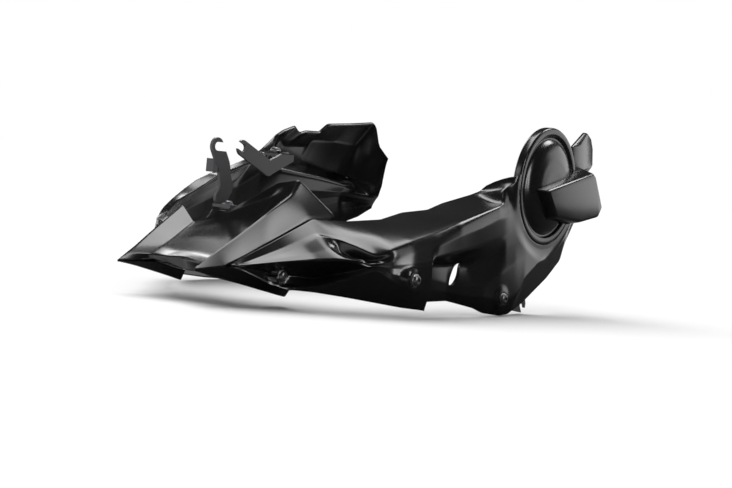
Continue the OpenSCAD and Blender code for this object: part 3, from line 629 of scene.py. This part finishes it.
def boss(name, inset, radius=0):
    """Boss over the foot-peg pivot, or the hollow behind it."""
    top, foot = COVER_OUT + BOSS_RISE - inset, COVER_OUT - BOSS_SINK - HOLLOW_REACH * inset
    near, far = inset_outline(BOSS_TOP, inset), inset_outline(BOSS_FOOT, inset)
    return loft(name, near, top, far, foot, LEFT, radius)


def ear():
    """Ear behind the cover: the hull of two flat outlines."""
    bm = bmesh.new()
    for outline, outs in EAR:
        for x, z in outline:
            for out in outs:
                bm.verts.new(((x - MIDDLE_X) * MM, LEFT * (COVER_OUT + out) * MM, z * MM))
    bmesh.ops.convex_hull(bm, input=bm.verts)
    bmesh.ops.delete(bm, geom=[v for v in bm.verts if not v.link_faces], context="VERTS")
    dissolve_flat(bm, 2)
    mesh = bpy.data.meshes.new("ear")
    bm.to_mesh(mesh)
    bm.free()
    obj = add_object("ear", mesh)
    round_edges(obj, EAR_BEVEL, segments=3, turn=15)
    return obj


def left_panel():
    xs = stations(GILL_X)
    grid, marks = panel_grid(LEFT_LINES, LEFT, xs, GRID_STEP)
    grid = blur_both(grid, 1, 2)
    soften_creases(grid, marks[list(LEFT_LINES).index("edge")])
    seat(grid, SCOOP, SCOOP_OUT, SCOOP_SEAT_R)
    seat(grid, SIDE, SIDE_OUT, SEAT_R)
    seat(grid, POD, POD_OUT, SEAT_R)
    flush_with_cover(grid)
    keep = np.ones((grid.shape[0] - 1, grid.shape[1] - 1), bool)
    open_circle(grid, keep, (COVER_X, COVER_Z), COVER_R - COVER_LAP)
    shell = sheet_object("left_panel_shell", grid, 1, keep, wall_along(xs))
    round_edges(shell, PANEL_BEVEL, turn=EDGE_TURN)
    slot = ellipse(DUCT_SLOT, DUCT_SLOT_SIZE, math.radians(DUCT_SLOT_TURN))
    combine(shell, loft("duct_slot", slot, DUCT_SLOT_CUT[0], slot, DUCT_SLOT_CUT[1], LEFT), "DIFFERENCE")
    drum = cover()
    combine(drum, boss("boss", 0, BOSS_ROUND), "UNION")
    combine(drum, boss("boss_hollow", WALL), "DIFFERENCE")
    join(shell, [drum, ear()])
    smooth(shell)
    return shell


def right_panel():
    xs = stations([])
    grid, _ = panel_grid(RIGHT_LINES, RIGHT, xs, GRID_STEP)
    grid = blur_both(grid, 1, 2)
    seat(grid, SCOOP, SCOOP_OUT, SCOOP_SEAT_R)
    seat(grid, SIDE, SIDE_OUT, SEAT_R)
    shell = sheet_object("right_panel_shell", grid, -1, None, wall_along(xs))
    round_edges(shell, PANEL_BEVEL, turn=EDGE_TURN)
    join(shell, [rim_lug()])
    smooth(shell)
    return shell


def rim_lug():
    """Flat lug at the right panel's rim, under the side hanger's bolt."""
    outline = rectangle(RIM_X, RIM_Y + LUG_LAP / 2, LUG, LUG + LUG_LAP)
    lug = loft("lug", outline, -RIM_Z, outline, WALL - RIM_Z, LEFT)
    stand_up(lug)
    round_edges(lug, LUG_BEVEL)
    return lug


def rectangle(x, y, long, wide):
    return [(x - long / 2, y - wide / 2), (x + long / 2, y - wide / 2), (x + long / 2, y + wide / 2),
            (x - long / 2, y + wide / 2)]


def stand_up(obj):
    """Takes what was drawn across the pan's side and lays it flat: distance out becomes height."""
    for v in obj.data.vertices:
        v.co = Vector((v.co.x, v.co.z, v.co.y))
    clean(obj)


def nose_grid():
    """Outer points of the nose piece with the wall at each of its rows, from the lines in NOSE_LINES."""
    lines = np.array(list(NOSE_LINES.values()), float)
    across = []
    for a, b in zip(lines, lines[1:]):
        count = max(3, int(round(np.linalg.norm(b - a, axis=1).max() / NOSE_STEP)))
        across += [a + (b - a) * s / count for s in range(count)]
    across.append(lines[-1])
    across = np.stack(across, 1)
    along = []
    for a, b in zip(across, across[1:]):
        along += [a + (b - a) * s / NOSE_CUTS for s in range(NOSE_CUTS)]
    along.append(across[-1])
    rows = np.arange(len(along)) / NOSE_CUTS
    walls = np.interp(rows, range(len(NOSE_WALLS)), NOSE_WALLS)
    return blur_both(np.stack(along, 0), 2, 2), walls[:, None, None]


def nose_piece():
    """Web and two fangs, with the front hanger's lug and the bosses for the scoops' bolts."""
    grid, walls = nose_grid()
    nose = sheet_object("nose_shell", grid, -1, None, walls)
    round_edges(nose, NOSE_BEVEL, turn=EDGE_TURN)
    back = HOOK_X + LUG / 2
    side = [(back + dx, HOOK_Z + dz) for dx, dz in HOOK_LUG]
    lug = loft("hook_lug", side, HOOK_Y - LUG / 2, side, HOOK_Y + LUG / 2, RIGHT)
    round_edges(lug, LUG_BEVEL)
    foot = SCOOP_OUT - SCOOP_SEAT
    bore = BOLT_D / 2 + BOLT_PLAY
    ring = [(bore, foot), (NOSE_BOSS_R, foot), (NOSE_BOSS_R, foot - NOSE_BOSS), (bore, foot - NOSE_BOSS)]
    ring = soften(ring, NOSE_BOSS_ROUND, 2)
    bosses = [turned("nose_boss", ring, *SCOOP, side, BOLT_STEPS) for side in (LEFT, RIGHT)]
    join(nose, [lug] + bosses)
    # The tips' rounded points reach no further forward than the CAD box
    for v in nose.data.vertices:
        v.co.x = max(v.co.x, cad_box[0][0])
    smooth(nose)
    return nose


def hook_tab():
    """Square tab bent out of the front hanger's front edge."""
    edge = HOOK_Y + LUG / 2 - PLATE
    outline = [(x, edge + off) for x, off in HOOK_TAB]
    tab = loft("hook_tab", outline, -HOOK_TAB_Z[0], outline, -HOOK_TAB_Z[1], LEFT)
    stand_up(tab)
    round_edges(tab, TAB_BEVEL, turn=30)
    return tab


def bolt_profile(grip):
    """Dome-headed bolt with a socket, from the socket's floor over the head to the end of the shank."""
    head, shank = HEAD_D / 2, BOLT_D / 2
    profile = [(r, HEAD_H - depth) for r, depth in SOCKET]
    profile += [(head * across, HEAD_H * up) for across, up in HEAD_DOME]
    profile += [(head - HEAD_BEVEL, 0), (shank, 0), (shank, THREAD_BEVEL - grip)]
    return profile + [(shank - THREAD_BEVEL, -grip), (0, -grip)]


def grip_through(clamped):
    """Length of a bolt under its head, through a washer, what it clamps and its nut."""
    return WASHER_T + clamped + NUT_H + THREAD_END


def side_bolt(name, centre, out, grip, sides):
    """Bolts across the pan, one on each of the sides."""
    profile = [(r, out + h) for r, h in bolt_profile(grip)]
    parts = [turned(name, profile, *centre, side, BOLT_STEPS, SOCKET_ROWS) for side in sides]
    join(parts[0], parts[1:])
    smooth(parts[0], FASTENER_SHARP)
    return parts[0]


def upright_bolt(name, x, y, z, grip):
    obj = turned(name, bolt_profile(grip), 0, 0, RIGHT, BOLT_STEPS, SOCKET_ROWS)
    for v in obj.data.vertices:
        v.co = Vector((v.co.x + x * MM, v.co.z + y * MM, v.co.y + z * MM))
    clean(obj)
    smooth(obj, FASTENER_SHARP)
    return obj


def softened_copy(node, width):
    """A CAD node's own shape with its sharp edges rounded."""
    obj = add_object(node + "_rounded", frame["nodes"][node].data.copy())
    bm = bmesh.new()
    bm.from_mesh(obj.data)
    bmesh.ops.remove_doubles(bm, verts=bm.verts, dist=MERGE)
    dissolve_flat(bm, 0.5)
    bm.to_mesh(obj.data)
    bm.free()
    round_edges(obj, width, turn=50)
    smooth(obj, FASTENER_SHARP)
    return obj


def camera():
    """The photograph's view: the pan is nose-up in it, so the camera is pitched about the pan's width."""
    azimuth, elevation, pitch = math.radians(-55), math.radians(11), math.radians(10)
    distance, focal_px, width_px, height_px = 1.6, 1490, 732, 488
    aim, aim_px = Vector((0.030, 0, 0.089)), (360, 215)
    back = Vector((math.sin(azimuth) * math.cos(elevation), -math.cos(azimuth) * math.cos(elevation),
                   math.sin(elevation)))
    right = Vector((math.cos(azimuth), math.sin(azimuth), 0))
    up = back.cross(right)
    c, s = math.cos(pitch), math.sin(pitch)
    turn = Matrix(((c, 0, -s), (0, 1, 0), (s, 0, c)))
    back, right, up = turn @ back, turn @ right, turn @ up
    u, v = (aim_px[0] - width_px / 2) / focal_px, (height_px / 2 - aim_px[1]) / focal_px
    place = aim + distance * (back - right * u - up * v)
    data = bpy.data.cameras.new("camera")
    data.sensor_width = 36
    data.lens = focal_px * data.sensor_width / width_px
    obj = add_object("camera", data)
    obj.matrix_world = Matrix((
        (right.x, up.x, back.x, place.x), (right.y, up.y, back.y, place.y), (right.z, up.z, back.z, place.z),
        (0, 0, 0, 1)))
    bpy.context.scene.camera = obj


def mix(tree, kind, factor, low, high):
    """Output of a Mix node that goes from low to high, each a value or another node's output."""
    node = tree.nodes.new("ShaderNodeMix")
    node.data_type = kind
    tree.links.new(factor, node.inputs[0])
    first = {"FLOAT": 2, "RGBA": 6}[kind]
    for place, value in ((first, low), (first + 1, high)):
        if isinstance(value, bpy.types.NodeSocket):
            tree.links.new(value, node.inputs[place])
        else:
            node.inputs[place].default_value = value
    return node.outputs[{"FLOAT": 0, "RGBA": 2}[kind]]


def math_node(tree, operation, a, b):
    node = tree.nodes.new("ShaderNodeMath")
    node.operation = operation
    tree.links.new(a, node.inputs[0])
    tree.links.new(b, node.inputs[1])
    return node.outputs[0]


def new_material(name):
    mat = bpy.data.materials.new(name)
    mat.use_nodes = True
    return mat, mat.node_tree, mat.node_tree.nodes["Principled BSDF"].inputs


def grained(name, color, roughness, spread, grain, height, metallic=0.0, coat=0.0):
    """Surface with a fine grain: bump of some height, and roughness and colour that vary a little."""
    mat, tree, shader = new_material(name)
    nodes, links = tree.nodes, tree.links
    shader["Metallic"].default_value = metallic
    shader["Coat Weight"].default_value = coat
    shader["Coat Roughness"].default_value = COAT_ROUGHNESS
    place = nodes.new("ShaderNodeTexCoord")
    fine, broad = nodes.new("ShaderNodeTexNoise"), nodes.new("ShaderNodeTexNoise")
    fine.inputs["Scale"].default_value = grain
    broad.inputs["Scale"].default_value = PATCH_SCALE
    broad.inputs["Detail"].default_value = PATCH_DETAIL
    for noise in (fine, broad):
        links.new(place.outputs["Object"], noise.inputs["Vector"])
    rough = nodes.new("ShaderNodeMapRange")
    rough.inputs["To Min"].default_value = roughness - spread
    rough.inputs["To Max"].default_value = roughness + spread
    links.new(broad.outputs["Fac"], rough.inputs["Value"])
    links.new(rough.outputs["Result"], shader["Roughness"])
    dark, light = ((*(c * share for c in color), 1) for share in (1 - PATCH_TONE, 1 + PATCH_TONE))
    links.new(mix(tree, "RGBA", broad.outputs["Fac"], dark, light), shader["Base Color"])
    bump = nodes.new("ShaderNodeBump")
    bump.inputs["Strength"].default_value = 1.0
    bump.inputs["Distance"].default_value = height * MM
    links.new(fine.outputs["Fac"], bump.inputs["Height"])
    links.new(bump.outputs["Normal"], shader["Normal"])
    return mat


def world():
    """Even light all round that the gloss mirrors darkly, on a white background."""
    data = bpy.data.worlds.new("studio")
    bpy.context.scene.world = data
    data.use_nodes = True
    tree = data.node_tree
    back = tree.nodes["Background"].inputs
    rays = tree.nodes.new("ShaderNodeLightPath").outputs
    light = mix(tree, "FLOAT", rays["Is Glossy Ray"], WORLD_LIGHT, WORLD_MIRRORED)
    tree.links.new(mix(tree, "FLOAT", rays["Is Camera Ray"], light, 1.0), back["Strength"])
    back["Color"].default_value = (1, 1, 1, 1)


def floor():
    """White floor that keeps the shadow, and that the gloss mirrors painted dark, as painted shade, with two
    patches of painted highlight.
    """
    bpy.ops.mesh.primitive_plane_add(size=FLOOR_SIZE, location=(0, 0, 0))
    obj = bpy.context.object
    obj.name = "floor"
    mat, tree, shader = new_material("floor")
    nodes, links = tree.nodes, tree.links
    shader["Roughness"].default_value = 1.0
    shader["Specular IOR Level"].default_value = 0.0
    rays = nodes.new("ShaderNodeLightPath").outputs
    place, split = nodes.new("ShaderNodeTexCoord"), nodes.new("ShaderNodeSeparateXYZ")
    links.new(place.outputs["Object"], split.inputs["Vector"])

    def edge_of_painted_highlight(axis, start, full):
        edge = nodes.new("ShaderNodeMapRange")
        edge.inputs["From Min"].default_value = start
        edge.inputs["From Max"].default_value = full
        links.new(split.outputs[axis], edge.inputs["Value"])
        return edge.outputs["Result"]

    # What the gloss mirrors of the floor is painted: dark as painted shade, with two bright patches as
    # painted highlights that put painted reflections on the nose's lip and on the right panel's inside
    rear = math_node(tree, "MULTIPLY", *(edge_of_painted_highlight(*edge) for edge in REAR_PAINTED_HIGHLIGHT))
    painted_highlights = math_node(tree, "MAXIMUM", rear, edge_of_painted_highlight(*FRONT_PAINTED_HIGHLIGHT))
    white, dark, highlight_tone = ((tone, tone, tone, 1) for tone in (FLOOR_WHITE, FLOOR_PAINTED_SHADE, PAINTED_HIGHLIGHT_TONE))
    mirrored = mix(tree, "RGBA", painted_highlights, dark, highlight_tone)
    links.new(mix(tree, "RGBA", rays["Is Glossy Ray"], white, mirrored), shader["Base Color"])
    obj.data.materials.append(mat)


def sun():
    """Broad light from above that lights the floor and isn't mirrored."""
    data = bpy.data.lights.new("sun", "SUN")
    data.energy = SUN_STRENGTH
    data.angle = math.radians(SUN_SPREAD)
    obj = add_object("sun", data)
    obj.rotation_euler = Vector(SUN_WAY).to_track_quat("-Z", "Y").to_euler()
    obj.visible_glossy = False


def softbox(name, place, aim, size, radiance):
    """Bright panel that only the object's gloss mirrors."""
    data = bpy.data.lights.new(name, "AREA")
    data.shape = "RECTANGLE"
    data.size, data.size_y = size
    data.energy = radiance * math.pi * size[0] * size[1]
    obj = add_object(name, data)
    obj.location = place
    obj.rotation_euler = (Vector(aim) - Vector(place)).to_track_quat("-Z", "Y").to_euler()
    obj.visible_diffuse = False
    obj.visible_camera = False


def studio():
    """White floor under an even, soft light, with softboxes that the pale facets mirror."""
    world()
    floor()
    sun()
    for name, box in SOFTBOXES.items():
        softbox(name, *box)
    bpy.context.scene.view_settings.view_transform = "Standard"


def dress(piece, names, node=None):
    """Gives a piece its surfaces, hangs it under the root body, and hides a CAD node in its place if one is
    named.
    """
    piece.data.materials.clear()
    for name in names:
        piece.data.materials.append(surfaces[name])
    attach(piece, "root")
    if node:
        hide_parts(node)


camera()
studio()
surfaces = {name: grained(name, **look) for name, look in SURFACES.items()}

moulding = ("satin_black", "gloss_black")
dress(left_panel(), moulding, "left_panel")
dress(right_panel(), moulding, "right_panel")
dress(nose_piece(), moulding, "nose_piece")
dress(hook_tab(), ["coated_steel"])

bolts = {
    "scoop_bolts": side_bolt("scoop_bolt_heads", SCOOP, SCOOP_OUT + WASHER_T,
                             grip_through(SCOOP_SEAT + NOSE_BOSS), (LEFT, RIGHT)),
    "side_bolts": side_bolt("side_bolt_heads", SIDE, SIDE_OUT + FLANGE_T + WASHER_T,
                            WELL_LEN, (LEFT, RIGHT)),
    "pod_bolt": side_bolt("pod_bolt_head", POD, POD_OUT + WASHER_T,
                          grip_through(POD_BOSS + PLATE), (LEFT,)),
    "rim_bolt": upright_bolt("rim_bolt_head", RIM_X, RIM_Y, RIM_Z + WASHER_T,
                             grip_through(WALL + PLATE)),
    "hook_bolt": upright_bolt("hook_bolt_head", HOOK_X, HOOK_Y, HOOK_Z + PLATE + WASHER_T,
                              grip_through(PLATE + LUG_T)),
}
for node, piece in bolts.items():
    dress(piece, ["black_steel"], node)
for node in ("scoop_washers", "side_washers", "pod_washer", "rim_washer", "hook_washer"):
    dress(softened_copy(node, WASHER_BEVEL), ["plain_steel"], node)
for node in ("scoop_nuts", "pod_nut", "rim_nut", "hook_nut"):
    dress(softened_copy(node, NUT_BEVEL), ["plain_steel"], node)
for node, obj in frame["nodes"].items():
    obj.data.materials.clear()
    obj.data.materials.append(surfaces["coated_steel" if node.endswith("bracket") else "black_rubber"])
